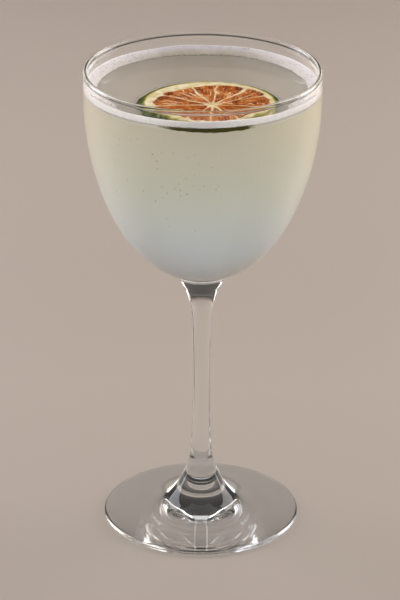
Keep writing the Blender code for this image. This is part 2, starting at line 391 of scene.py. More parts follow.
def toLimePlace(points):
    # from the wheel's own axes to the object's
    v = limeValues
    c, s = math.cos(v["tilt"]), math.sin(v["tilt"])
    x, y, z = points.T
    return np.stack([x, y * c - z * s, y * s + z * c], 1) + np.array(v["centre"])


def segmentField(x, y):
    # distance into the flesh (negative in pith and membranes), angle and distance from the star
    v = limeValues
    outline = limeOutline(np.arctan2(y / v["radii"][1], x / v["radii"][0]), 0.0)
    share = np.hypot(x, y) / np.maximum(np.hypot(*outline), 1e-9)
    edge = aroundTable(v["fleshEdge"], np.arctan2(y / v["radii"][1], x / v["radii"][0]))
    dx, dy = x - v["star"][0], y - v["star"][1]
    rho = np.hypot(dx, dy)
    angle = np.degrees(np.arctan2(dy, dx)) % 360
    # membranes wander a little on their way out
    bent = (angle + 1.3 * np.sin(rho / (2.6 * mm) + angle / 17)
            + 0.5 * np.sin(rho / (1.1 * mm) + angle / 9)) % 360
    places = np.array([a for a, _ in v["membranes"]], float)
    widths = np.array([w for _, w in v["membranes"]]) * mm
    upper = np.searchsorted(places, bent) % len(places)
    lower = upper - 1
    toLower = np.radians((bent - places[lower]) % 360)
    toUpper = np.radians((places[upper] - bent) % 360)
    spread = 0.75 + 0.35 * np.sin(rho / (3.1 * mm) + angle / 23)
    sideGap = np.minimum(rho * np.sin(np.minimum(toLower, 1.5)) - widths[lower] * spread,
                         rho * np.sin(np.minimum(toUpper, 1.5)) - widths[upper] * spread)
    ragged = 0.012 * np.sin(np.radians(angle) * 11) + 0.010 * np.sin(np.radians(angle) * 23 + 1)
    edgeGap = (edge + ragged - share) * v["radii"][0]
    starGap = rho - (1.7 + 0.6 * np.sin(np.radians(angle) * 5 + 0.5)) * mm
    gaps = np.stack([sideGap, edgeGap, starGap]) / (0.45 * mm)
    soft = -0.45 * mm * np.log(np.exp(-np.clip(gaps, -40, 40)).sum(0))
    return soft, upper, angle, rho, share, edgeGap


def driedFleshMaterial(name, sacs):
    # dried citrus: matt cream pith, leathery dark rind with oil pores, amber to brown flesh;
    # pulp fibre of 0.4 mm, pores 0.7 mm apart, mottling of 1.7 mm, blotches of 2.4 mm
    material, tree = newMaterial(name)
    place = addNode(tree, "ShaderNodeTexCoord").outputs["Object"]
    tone = addNode(tree, "ShaderNodeAttribute", attribute_name="tone").outputs["Fac"]
    fine = addNode(tree, "ShaderNodeTexNoise", {"Vector": place, "Scale": 2.3 / mm, "Detail": 4.0}).outputs["Fac"]
    # the noise adds 0.35 either way to the stored tone
    mixed = addNode(tree, "ShaderNodeMath", {0: fine, 1: 0.7, 2: tone}, operation="MULTIPLY_ADD").outputs[0]
    centred = addNode(tree, "ShaderNodeMath", {0: mixed, 1: -0.35}, operation="ADD").outputs[0]
    # the tone's dark end holds painted shade in the flesh's hollows, and its pale end partly holds painted
    # highlight on raised ridges
    flesh = addNode(tree, "ShaderNodeValToRGB", {0: centred}, ramp=[
        (0.0, "#2f0e03"), (0.18, "#622408"), (0.36, "#9d4e15"), (0.58, "#bf7534"), (0.8, "#d9a572"),
        (1.0, "#f4e0cc")]).outputs["Color"]
    colour = flesh
    if not sacs:
        stain, inFlesh, inZest, inRind = [
            addNode(tree, "ShaderNodeAttribute", attribute_name=stored).outputs["Fac"]
            for stored in ("stain", "flesh", "zest", "rind")]
        broad = addNode(tree, "ShaderNodeTexNoise", {"Vector": place, "Scale": 0.42 / mm,
                                                     "Detail": 3.0}).outputs["Fac"]
        colour = addNode(tree, "ShaderNodeValToRGB", {0: broad}, ramp=[
            (0.3, "#bba873"), (0.46, "#d2c498"), (0.6, "#ddd3b3"), (0.8, "#e8e2cf")]).outputs["Color"]
        # the pith turns yellower to one side
        side = addNode(tree, "ShaderNodeSeparateXYZ", {0: place}).outputs["X"]
        yellow = addNode(tree, "ShaderNodeMapRange", {"Value": side, "From Min": 0.0, "From Max": 24 * mm,
                                                      "To Max": 0.35}).outputs["Result"]
        mottled = addNode(tree, "ShaderNodeTexNoise", {"Vector": place, "Scale": 0.6 / mm,
                                                       "Detail": 4.0}).outputs["Fac"]
        rind = addNode(tree, "ShaderNodeValToRGB", {0: mottled}, ramp=[
            (0.34, "#151c05"), (0.48, "#2f3b10"), (0.58, "#525d24"), (0.7, "#868e5e")]).outputs["Color"]
        for factor, over in ((yellow, srgb("#bdb074")), (stain, srgb("#c79a72")), (inFlesh, flesh),
                             (inZest, srgb("#8d8026")), (inRind, rind)):
            colour = addNode(tree, "ShaderNodeMix", {"Factor": factor, "A": colour, "B": over},
                             data_type="RGBA").outputs["Result"]
    pores = addNode(tree, "ShaderNodeTexVoronoi", {"Vector": place, "Scale": 1.5 / mm}).outputs["Distance"]
    bump = addNode(tree, "ShaderNodeBump", {"Height": pores, "Strength": 0.35, "Distance": 0.12 * mm})
    shader = addNode(tree, "ShaderNodeBsdfPrincipled", {
        "Base Color": colour, "Roughness": 0.45 if sacs else 0.55, "IOR": 1.45, "Specular IOR Level": 0.25,
        "Normal": bump.outputs["Normal"]})
    addNode(tree, "ShaderNodeOutputMaterial", {"Surface": shader.outputs["BSDF"]})
    return material


def limeSurface():
    # rows of points over the face, down the rind and under the wheel, with their attributes
    v = limeValues
    n = v["around"]
    angle = np.linspace(0, 2 * np.pi, n, endpoint=False)
    star = np.array(v["star"])
    edge = aroundTable(v["fleshEdge"], angle)
    rindEdge = aroundTable(v["rindEdge"], angle)
    humpPlace, humpWidth, humpHeight = v["hump"]
    nickPlace, nickWidth, nickShare, nickDepth = v["nick"]
    palePlace, paleWidth, paleDepth = v["paleSide"]
    rows = []
    for t in np.linspace(0, 1, v["faceRings"] + 1)[1:]:
        ox, oy = limeOutline(angle, 0.0)
        inward = np.clip(1 - t / edge, 0, 1)
        x, y = ox * t + star[0] * inward, oy * t + star[1] * inward
        gap, index, direction, rho, share, edgeGap = segmentField(x, y)
        inFlesh = smoothStep(-0.08 * mm, 0.16 * mm, gap)
        # streaks of juice sacs run from the star outwards
        grain = np.stack([direction / 3.4 + index * 7.7, rho / (2.8 * mm), index * 3.1], 1)
        coarse = valueNoise(grain, 1.0, 3)
        fine = valueNoise(grain * np.array([2.4, 1.7, 1.0]), 1.0, 9)
        ridge = smoothStep(0.42, 0.75, valueNoise(grain * np.array([1.3, 0.45, 1.0]), 1.0, 14)) * 0.6
        wall, nearWall = np.zeros(n), np.zeros(n)
        for degrees, start, end in v["sacWalls"]:
            wander = 0.16 * mm * np.sin(rho / (1.5 * mm) + degrees)
            aside = np.abs(rho * np.sin(np.radians(direction - degrees)) + wander)
            along = smoothStep(start * mm, (start + 1) * mm, rho) * smoothStep((end + 1) * mm, end * mm, rho)
            sameSide = np.cos(np.radians(direction - degrees)) > 0
            wall = np.maximum(wall, smoothStep(0.24 * mm, 0.08 * mm, aside) * along * sameSide)
            nearWall = np.maximum(nearWall, smoothStep(1.3 * mm, 0.9 * mm, aside) * along * sameSide)
        ridge = np.maximum(ridge, wall)
        streak = 0.55 * coarse + 0.45 * fine
        face = np.stack([x, y, np.zeros(n)], 1)
        wrinkle = valueNoise(face, 1.7 * mm, 5)
        blotch = valueNoise(face, 3.3 * mm, 6)
        hollow = smoothStep(2.6 * mm, 0.4 * mm, edgeGap) * smoothStep(-0.2, 0.6, blotch)
        z = -v["sink"] * smoothStep(0, 0.9 * mm, gap) * (0.8 + 0.2 * streak - 0.35 * ridge + 0.35 * hollow)
        z += 0.11 * mm * wrinkle * (1 - inFlesh) - 0.35 * mm * smoothStep(0.955, 1.0, share)
        z += humpHeight * np.exp(-((angle - humpPlace) / humpWidth) ** 2) * smoothStep(0.86, 0.94, share)
        z -= 0.12 * mm * smoothStep(3.0 * mm, 0.5 * mm, rho) * (1 - inFlesh)
        # painted shade: the tone is darker in the hollows near the pith. Raised ridges come out lighter: the pale
        # walls between sacs are the flesh's own colour, and the lighter noise ridges are painted highlight
        tone = 0.45 + 0.34 * streak + 0.5 * ridge - 0.3 * hollow + 0.16 * blotch
        uneven = share + 0.010 * wrinkle
        zest = smoothStep(rindEdge - 0.035, rindEdge - 0.012, uneven)
        stain = smoothStep(1.2 * mm, 0.1 * mm, -gap) * smoothStep(-0.3, 0.7, wrinkle) * 0.7
        rind = smoothStep(rindEdge - 0.012, rindEdge + 0.012, uneven)
        nick = np.hypot((np.degrees(angle) - nickPlace) / nickWidth, (share - nickShare) / nickDepth)
        rind = np.maximum(rind, 0.85 * smoothStep(1.0, 0.6, nick) * smoothStep(0.3, 0.6, nick))
        rows.append((x, y, z, inFlesh * (1 - wall), tone, stain, zest, rind, gap - 1.0 * mm * nearWall))
    blank = np.zeros(n)
    for depth in np.linspace(0, 1, v["sideRings"] + 1)[1:]:
        swell = limeSwell(depth) * min(1.0, depth / 0.08)
        ox, oy = limeOutline(angle, swell)
        pull = 1 - 0.05 * max(0.0, (depth - 0.8) / 0.2) ** 2
        side = np.stack([ox, oy, np.full(n, -depth * v["thickness"])], 1)
        dent = (valueNoise(side, 1.3 * mm, 8) * 0.18 * mm
                + valueNoise(side * (1, 1, 0.5), 0.6 * mm, 18) * 0.12 * mm)
        reach = np.hypot(ox, oy)
        pull = pull * (1 + dent / reach)
        below = depth - paleDepth * np.exp(-((angle - palePlace) / paleWidth) ** 2)
        rows.append((ox * pull, oy * pull, side[:, 2] - 0.35 * mm * (1 - depth), blank, blank + 0.5, blank,
                     np.clip(1 - np.abs(below) * 12, 0, 1), np.clip(0.85 + below * 4, 0, 1)))
    for t in (0.93, 0.8, 0.5, 0.2):
        ox, oy = limeOutline(angle, limeSwell(1.0))
        rows.append((ox * t * 0.95, oy * t * 0.95, np.full(n, -v["thickness"]), blank, blank + 0.5, blank,
                     blank, blank))
    return rows


def growSacs(face):
    # Geometry Nodes: teardrop juice sacs on the flesh, pointing at the star
    v = limeValues
    c = v["centre"]
    inputs = {"Count per area": v["sacCount"] / v["sacArea"], "Length": v["sacLength"], "Width": v["sacWidth"],
              "Star": (c[0] + v["star"][0], c[1] + v["star"][1], c[2] - 0.9 * mm),
              "Material": driedFleshMaterial("dried_juice_sacs", True), "Seed": 5}
    tree, given, points = scatterTree("juiceSacs", inputs, "sacs")
    # the sac: a small ball drawn out, thin towards the star
    ball = addNode(tree, "GeometryNodeMeshUVSphere", {"Segments": 7, "Rings": 6, "Radius": 0.5})
    place = addNode(tree, "GeometryNodeInputPosition")
    axes = addNode(tree, "ShaderNodeSeparateXYZ", {0: place.outputs["Position"]})
    taper = addNode(tree, "ShaderNodeMath", {0: axes.outputs["X"], 1: -0.7, 2: 0.75}, operation="MULTIPLY_ADD")
    across = addNode(tree, "ShaderNodeMath", {0: taper.outputs[0], 1: given["Width"]}, operation="MULTIPLY")
    size = addNode(tree, "ShaderNodeCombineXYZ", {"X": given["Length"], "Y": across.outputs[0],
                                                  "Z": across.outputs[0]})
    shaped = addNode(tree, "ShaderNodeVectorMath", {0: place.outputs["Position"], 1: size.outputs[0]},
                     operation="MULTIPLY")
    sac = addNode(tree, "GeometryNodeSetPosition", {"Geometry": ball.outputs["Mesh"],
                                                    "Position": shaped.outputs[0]})
    toStar = addNode(tree, "ShaderNodeVectorMath", {0: given["Star"], 1: place.outputs["Position"]},
                     operation="SUBTRACT")
    lean = addNode(tree, "FunctionNodeRandomValue", {"Min": (-0.13, -0.13, -0.10), "Max": (0.13, 0.13, 0.06),
                                                     "Seed": 3}, data_type="FLOAT_VECTOR")
    unit = addNode(tree, "ShaderNodeVectorMath", {0: toStar.outputs[0]}, operation="NORMALIZE")
    aim = addNode(tree, "ShaderNodeVectorMath", {0: unit.outputs[0], 1: lean.outputs[0]}, operation="ADD")
    turn = addNode(tree, "FunctionNodeAlignRotationToVector", {"Vector": aim.outputs[0]}, axis="X")
    scale = addNode(tree, "FunctionNodeRandomValue", {"Min": (0.55, 0.6, 0.5), "Max": (1.35, 1.5, 1.1),
                                                      "Seed": 11}, data_type="FLOAT_VECTOR")
    placed = addNode(tree, "GeometryNodeInstanceOnPoints", {
        "Points": points["Points"], "Instance": sac.outputs["Geometry"],
        "Rotation": turn.outputs["Rotation"], "Scale": scale.outputs[0]})
    tone = addNode(tree, "FunctionNodeRandomValue", {2: 0.18, 3: 0.74, "Seed": 23}, data_type="FLOAT")
    marked = addNode(tree, "GeometryNodeStoreNamedAttribute", {
        "Geometry": placed.outputs["Instances"], "Name": "tone", "Value": tone.outputs[1]},
        data_type="FLOAT", domain="INSTANCE")
    return growInstances(face, tree, given, inputs, marked.outputs["Geometry"])


def makeLime():
    v = limeValues
    n = v["around"]
    rows = limeSurface()
    body = np.concatenate([np.stack(row[:3], 1) for row in rows])
    top = [[v["star"][0], v["star"][1], -0.1 * mm]]
    points = toLimePlace(np.concatenate([body, top, [[0.0, 0.0, -v["thickness"]]]]))
    last = (len(rows) - 1) * n
    faces = ringFaces(len(rows), n)
    faces += [(len(body), i, (i + 1) % n) for i in range(n)]
    faces += [(len(body) + 1, last + (i + 1) % n, last + i) for i in range(n)]
    piece = meshPiece("driedLimeWheel", points, faces, [driedFleshMaterial("dried_citrus_slice", False)])
    for place, name in enumerate(("flesh", "tone", "stain", "zest", "rind"), 3):
        setAttribute(piece, name, np.concatenate([row[place] for row in rows] + [[0.0, 0.0]]))
    # the sacs grow on a copy of the face
    faceRows = v["faceRings"]
    face = meshPiece("driedJuiceSacs", points[:faceRows * n], ringFaces(faceRows, n), [])
    gap = np.concatenate([row[8] for row in rows[:faceRows]])
    setAttribute(face, "sacs", smoothStep(0.25 * mm, 0.6 * mm, gap))
    growSacs(face)
    for part in (piece, face):
        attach(part, "root")
    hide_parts("lime_wheel")
    print("lime", len(piece.data.polygons), "faces, sacs", len(face.data.polygons))


# the drink: rum, lime and sugar shaken hard, cloudy with air and pulp

drinkValues = {
    "level": 156.9 * mm,
    "meniscusStart": 33.0 * mm,
    "meniscusRise": 0.7 * mm,
    "intoWall": 0.05 * mm,
    "turnSteps": 320,
    # the surface climbs to the lime, fades out over this reach and dips under the wheel
    "limeMeniscus": 0.6 * mm,
    "limeReach": 0.8 * mm,
    "limeDip": 3.0 * mm,
    # the rind shows through the drink where it lies close to the glass, above this height
    "rindLowest": 155.7 * mm,
    "rindReach": (3.2 * mm, 1.1 * mm),
    "rindSide": (19 * mm, 12 * mm),
    "scatter": 5.0 * mm,             # how far light wanders in it
}


def drinkMaterial(wet):
    # cloudy citrus drink: milky, light goes a few millimetres in; no gloss where it meets glass;
    # the strip over the rind is broken up at 0.7 mm
    material, tree = newMaterial("cloudy_drink_surface" if wet else "cloudy_drink_in_glass")
    place = addNode(tree, "ShaderNodeTexCoord").outputs["Object"]
    axes = addNode(tree, "ShaderNodeSeparateXYZ", {0: place}).outputs
    if wet:
        # painted light: the open surface is lighter towards both sides, where the side lamps fall on it
        off = addNode(tree, "ShaderNodeMath", {0: axes["X"]}, operation="ABSOLUTE").outputs[0]
        side = addNode(tree, "ShaderNodeMapRange", {"Value": off, "From Min": 8 * mm,
                                                    "From Max": 34 * mm}).outputs["Result"]
        colour = addNode(tree, "ShaderNodeValToRGB", {0: side}, ramp=[
            (0.0, "#9b9387"), (1.0, "#b2aa9e")]).outputs["Color"]
    else:
        # painted light: the drink is lighter and bluer towards the bottom, standing for light from below that
        # scatters up through it, and lighter again in a thin band just under the froth, against the shade the
        # froth casts there
        span = addNode(tree, "ShaderNodeMapRange", {"Value": axes["Z"], "From Min": drinkLow.z,
                                                    "From Max": drinkHigh.z}).outputs["Result"]
        colour = addNode(tree, "ShaderNodeValToRGB", {0: span}, ramp=[
            (0.0, "#f0f2f2"), (0.25, "#e2e7e8"), (0.6, "#d9d9cd"), (0.978, "#cfc8b5"),
            (0.995, "#e4dfd0")]).outputs["Color"]
        # the dark rind behind shows through as a ragged olive strip
        near = addNode(tree, "ShaderNodeAttribute", attribute_name="rindNear").outputs["Fac"]
        grain = addNode(tree, "ShaderNodeTexNoise", {"Vector": place, "Scale": 1.5 / mm,
                                                     "Detail": 4.0}).outputs["Fac"]
        rough = addNode(tree, "ShaderNodeMath", {0: grain, 1: -0.5}, operation="ADD").outputs[0]
        ragged = addNode(tree, "ShaderNodeMath", {0: rough, 1: 0.9, 2: near}, operation="MULTIPLY_ADD").outputs[0]
        mask = addNode(tree, "ShaderNodeMapRange", {"Value": ragged, "From Min": 0.15,
                                                    "From Max": 0.75}).outputs["Result"]
        film = addNode(tree, "ShaderNodeValToRGB", {0: mask}, ramp=[
            (0.0, "#b59a28"), (0.45, "#7d6d0f"), (1.0, "#403b07")]).outputs["Color"]
        colour = addNode(tree, "ShaderNodeMix", {"Factor": mask, "A": colour, "B": film},
                         data_type="RGBA").outputs["Result"]
    shader = addNode(tree, "ShaderNodeBsdfPrincipled", {
        "Base Color": colour, "Roughness": 0.02 if wet else 0.5, "IOR": 1.35,
        "Specular IOR Level": 0.5 if wet else 0.0,
        "Subsurface Weight": 1.0, "Subsurface Scale": drinkValues["scatter"],
        "Subsurface Radius": (1.0, 1.0, 0.9)})
    addNode(tree, "ShaderNodeOutputMaterial", {"Surface": shader.outputs["BSDF"]})
    return material


def makeDrink():
    g, v, lime = glassValues, drinkValues, limeValues
    side = bowlCurve(g["wall"] - v["intoWall"], g["base"] - v["intoWall"], 0.0, 1.0, 90)
    wall = side[0][0]
    flat = [(r, v["level"]) for r in np.linspace(0, v["meniscusStart"], 90)]
    rise = [(v["meniscusStart"] + (wall - v["meniscusStart"]) * t,
             v["level"] + v["meniscusRise"] * t ** 1.6) for t in np.linspace(0, 1, 14)[1:]]
    upright = [(wall, z) for z in np.linspace(rise[-1][1], side[0][1], 28)[1:-1]]
    piece = turnProfile("cloudyDrink", flat + rise + upright + side, v["turnSteps"],
                        [drinkMaterial(False), drinkMaterial(True)])
    points = getPoints(piece)
    x, y, z = points.T
    top = (z >= v["level"] - 0.01 * mm) & (np.hypot(x, y) < wall - 0.01 * mm)
    lx, ly = x - lime["centre"][0], y - lime["centre"][1]
    angle = np.arctan2(ly / lime["radii"][1], lx / lime["radii"][0])
    away = np.hypot(lx, ly) - np.hypot(*limeOutline(angle, 0.75))
    lift = v["limeMeniscus"] * np.exp(-np.clip(away, 0, None) / v["limeReach"])
    under = smoothStep(-0.4 * mm, -1.6 * mm, away) * (v["limeMeniscus"] + v["limeDip"])
    points[:, 2] = np.where(top, z + lift - under, z)
    setPoints(piece, points)
    # how close the rind lies behind the glass, near the top
    depth = np.clip((lime["centre"][2] - z) / lime["thickness"], 0, 1)
    gap = np.hypot(lx, ly) - np.hypot(*limeOutline(angle, limeSwell(depth)))
    ragged = 0.09 * mm * ringNoise(np.arctan2(y, x), 41, range(16, 110))
    lowest = v["rindLowest"] + 0.45 * np.clip(gap, 0, None) + ragged
    near = smoothStep(*v["rindReach"], gap) * smoothStep(lowest, lowest + 0.5 * mm, z)
    near = near * smoothStep(*v["rindSide"], x)
    setAttribute(piece, "rindNear", np.where(top, 0.0, near))
    # the open surface is wet, the rest lies against glass
    normals = np.array([p.normal.z for p in piece.data.polygons])
    heights = np.array([p.center[2] for p in piece.data.polygons])
    wet = (normals > 0.2) & (heights > v["level"] - 5.0 * mm)
    piece.data.polygons.foreach_set("material_index", wet.astype(np.int32))
    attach(piece, "root")
    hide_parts("drink")
    print("drink", len(piece.data.polygons), "faces")


# pulp: specks of lime held against the glass

pulpValues = {
    "count": 150,
    "small": 0.10 * mm,
    "large": 0.24 * mm,
    # most of it hangs in the upper part of the front, left of the middle
    "middle": (-12.0 * mm, -36.0 * mm, 138.0 * mm),
    "spread": (20.0 * mm, 25.0 * mm, 13.0 * mm),
    "elsewhere": 0.06,
    "area": 2 * math.pi * 36 * mm * 60 * mm,   # side of the drink that the count is meant for
    "around": 96,
}


def pulpMaterial():
    # wet lime pulp behind glass: dull olive grey, a little darker than the drink, uneven over 5 mm
    material, tree = newMaterial("wet_lime_pulp")
    place = addNode(tree, "ShaderNodeTexCoord").outputs["Object"]
    tone = addNode(tree, "ShaderNodeTexNoise", {"Vector": place, "Scale": 0.2 / mm}).outputs["Fac"]
    colour = addNode(tree, "ShaderNodeValToRGB", {0: tone}, ramp=[
        (0.35, "#4b4936"), (0.5, "#77745c"), (0.65, "#a7a48c")]).outputs["Color"]
    shader = addNode(tree, "ShaderNodeBsdfPrincipled", {"Base Color": colour, "Roughness": 0.6})
    addNode(tree, "ShaderNodeOutputMaterial", {"Surface": shader.outputs["BSDF"]})
    return material


def makePulp():
    # grows on the lower part of the drink's side
    g, v = glassValues, pulpValues
    curve = bowlCurve(g["wall"] - drinkValues["intoWall"], g["base"], 0.0, 0.9, 40)
    n = v["around"]
    angle = np.linspace(0, 2 * np.pi, n, endpoint=False)
    rows = [np.stack([r * np.cos(angle), r * np.sin(angle), np.full(n, z)], 1) for r, z in curve]
    points = np.concatenate(rows)
    piece = meshPiece("limePulp", points, ringFaces(len(curve), n), [])
    away = (points - np.array(v["middle"])) / np.array(v["spread"])
    mask = np.maximum(np.exp(-(away ** 2).sum(1)), v["elsewhere"])
    setAttribute(piece, "pulp", mask)
    # Geometry Nodes: flat grains scattered where the drink meets the glass
    inputs = {"Count per area": float(v["count"] / (v["area"] * mask.mean())), "Small": v["small"],
              "Large": v["large"], "Material": pulpMaterial(), "Seed": 2}
    tree, given, points = scatterTree("limePulp", inputs, "pulp")
    grain = addNode(tree, "GeometryNodeMeshUVSphere", {"Segments": 8, "Rings": 5, "Radius": 1.0})
    shape = addNode(tree, "FunctionNodeRandomValue", {"Min": (0.5, 0.4, 0.15), "Max": (1.5, 0.9, 0.3),
                                                      "Seed": 8}, data_type="FLOAT_VECTOR")
    pick = addNode(tree, "FunctionNodeRandomValue", {2: given["Small"], 3: given["Large"], "Seed": 9},
                   data_type="FLOAT")
    size = addNode(tree, "ShaderNodeVectorMath", {0: shape.outputs[0], "Scale": pick.outputs[1]},
                   operation="SCALE")
    spin = addNode(tree, "FunctionNodeRandomValue", {2: 0.0, 3: 6.28, "Seed": 10}, data_type="FLOAT")
    axis = addNode(tree, "ShaderNodeCombineXYZ", {"Z": spin.outputs[1]})
    turn = addNode(tree, "FunctionNodeRotateRotation", {"Rotation": points["Rotation"],
                                                        "Rotate By": axis.outputs[0]}, rotation_space="LOCAL")
    placed = addNode(tree, "GeometryNodeInstanceOnPoints", {
        "Points": points["Points"], "Instance": grain.outputs["Mesh"],
        "Rotation": turn.outputs["Rotation"], "Scale": size.outputs[0]})
    growInstances(piece, tree, given, inputs, placed.outputs["Instances"])
    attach(piece, "root")
    print("pulp", len(piece.data.polygons), "faces")


# the froth: fine air bubbles that the shaking left, drawn to the wall

frothValues = {
    "inner": 33.2 * mm,
    "innerSide": 34.7 * mm,
    "top": 159.4 * mm,
    "topSlope": 0.5 * mm,
    "around": 720,
    # over the lime its lower edge lies higher: by this much, within this angle in radians
    "overLime": (0.45 * mm, 0.45),
    "cellCount": 1600,
    "cellArea": 2 * math.pi * 36 * mm * 5 * mm,   # froth that the count is meant for
    "cellSmall": 0.07 * mm,
    "cellLarge": 0.24 * mm,
}


def frothMaterial(name, bubbles):
    # fine wet foam: nearly white, soft, light spreads inside; its thin inner skirt has the drink's tint;
    # cells of 0.2 mm at the glass and 0.7 mm inside (coarser than real ones), clouds of 3 mm
    material, tree = newMaterial(name)
    place = addNode(tree, "ShaderNodeTexCoord").outputs["Object"]
    cells = addNode(tree, "ShaderNodeTexVoronoi", {"Vector": place, "Scale": 1.5 / mm})
    cloud = addNode(tree, "ShaderNodeTexNoise", {"Vector": place, "Scale": 0.3 / mm, "Detail": 3.0})
    colour = addNode(tree, "ShaderNodeValToRGB", {0: cloud.outputs["Fac"]}, ramp=[
        (0.3, "#aea7a7"), (0.5, "#bcb6b8"), (0.7, "#cac6ca")]).outputs["Color"]
    if not bubbles:
        body, atGlass = [addNode(tree, "ShaderNodeAttribute", attribute_name=stored).outputs["Fac"]
                         for stored in ("body", "pressed")]
        skirt = addNode(tree, "ShaderNodeValToRGB", {0: body}, ramp=[
            (0.0, "#91866f"), (0.25, "#a39880"), (0.5, "#b3a898"), (0.8, "#cac5ca")]).outputs["Color"]
        # painted light: the froth is whiter towards both sides, where the side lamps fall on it, than at the back
        axes = addNode(tree, "ShaderNodeSeparateXYZ", {0: place}).outputs
        off = addNode(tree, "ShaderNodeMath", {0: axes["X"]}, operation="ABSOLUTE").outputs[0]
        side = addNode(tree, "ShaderNodeMapRange", {"Value": off, "From Min": 12 * mm, "From Max": 36 * mm,
                                                    "To Max": 0.75}).outputs["Result"]
        # dark gaps where the froth's inner edge has broken up
        gaps = addNode(tree, "ShaderNodeTexNoise", {"Vector": place, "Scale": 0.7 / mm,
                                                    "Detail": 1.0}).outputs["Fac"]
        thin = addNode(tree, "ShaderNodeMath", {0: body, 1: -1.6, 2: gaps}, operation="MULTIPLY_ADD").outputs[0]
        broken = addNode(tree, "ShaderNodeMapRange", {"Value": thin, "From Min": 0.42, "From Max": 0.52,
                                                      "To Max": 0.8}).outputs["Result"]
        # flat against the glass the cells show as a fine grain, and the rind behind greys its middle
        grain = addNode(tree, "ShaderNodeTexVoronoi", {"Vector": place, "Scale": 5.2 / mm}).outputs["Color"]
        pressed = addNode(tree, "ShaderNodeValToRGB", {0: grain}, ramp=[
            (0.1, "#dad4d1"), (0.5, "#eeebea"), (0.9, "#faf8f9")]).outputs["Color"]
        grey = addNode(tree, "ShaderNodeMapRange", {"Value": off, "From Min": 15 * mm, "From Max": 3 * mm,
                                                    "To Max": 0.36}).outputs["Result"]
        pressed = addNode(tree, "ShaderNodeMix", {"Factor": grey, "A": pressed, "B": srgb("#b0a9a4")},
                          data_type="RGBA").outputs["Result"]
        for factor, over in ((0.75, skirt), (side, srgb("#e6e1e2")), (broken, srgb("#6e6558")),
                             (atGlass, pressed)):
            colour = addNode(tree, "ShaderNodeMix", {"Factor": factor, "A": colour, "B": over},
                             data_type="RGBA").outputs["Result"]
    bump = addNode(tree, "ShaderNodeBump", {"Height": cells.outputs["Distance"], "Strength": 0.4,
                                            "Distance": 0.15 * mm}, invert=True)
    shader = addNode(tree, "ShaderNodeBsdfPrincipled", {
        "Base Color": colour, "Roughness": 0.4, "IOR": 1.33,
        "Subsurface Weight": 1.0, "Subsurface Scale": 0.45 * mm, "Subsurface Radius": (1.0, 0.95, 0.9),
        "Normal": bump.outputs["Normal"]})
    addNode(tree, "ShaderNodeOutputMaterial", {"Surface": shader.outputs["BSDF"]})
    return material


def growCells(piece):
    # Geometry Nodes: single bubbles stand out of the froth, small and large mixed
    v = frothValues
    inputs = {"Count per area": v["cellCount"] / v["cellArea"], "Small": v["cellSmall"],
              "Large": v["cellLarge"], "Material": frothMaterial("foam_bubbles", True), "Seed": 4}
    tree, given, points = scatterTree("frothCells", inputs, "openAir")
    ball = addNode(tree, "GeometryNodeMeshUVSphere", {"Segments": 8, "Rings": 5, "Radius": 1.0})
    smooth = addNode(tree, "GeometryNodeSetShadeSmooth", {"Geometry": ball.outputs["Mesh"]})
    pick = addNode(tree, "FunctionNodeRandomValue", {2: 0.0, 3: 1.0, "Seed": 7}, data_type="FLOAT")
    rare = addNode(tree, "ShaderNodeMath", {0: pick.outputs[1], 1: 4.0}, operation="POWER")
    size = addNode(tree, "ShaderNodeMapRange", {"Value": rare.outputs[0], "To Min": given["Small"],
                                                "To Max": given["Large"]})
    placed = addNode(tree, "GeometryNodeInstanceOnPoints", {
        "Points": points["Points"], "Instance": smooth.outputs["Geometry"], "Scale": size.outputs["Result"]})
    return growInstances(piece, tree, given, inputs, placed.outputs["Instances"])


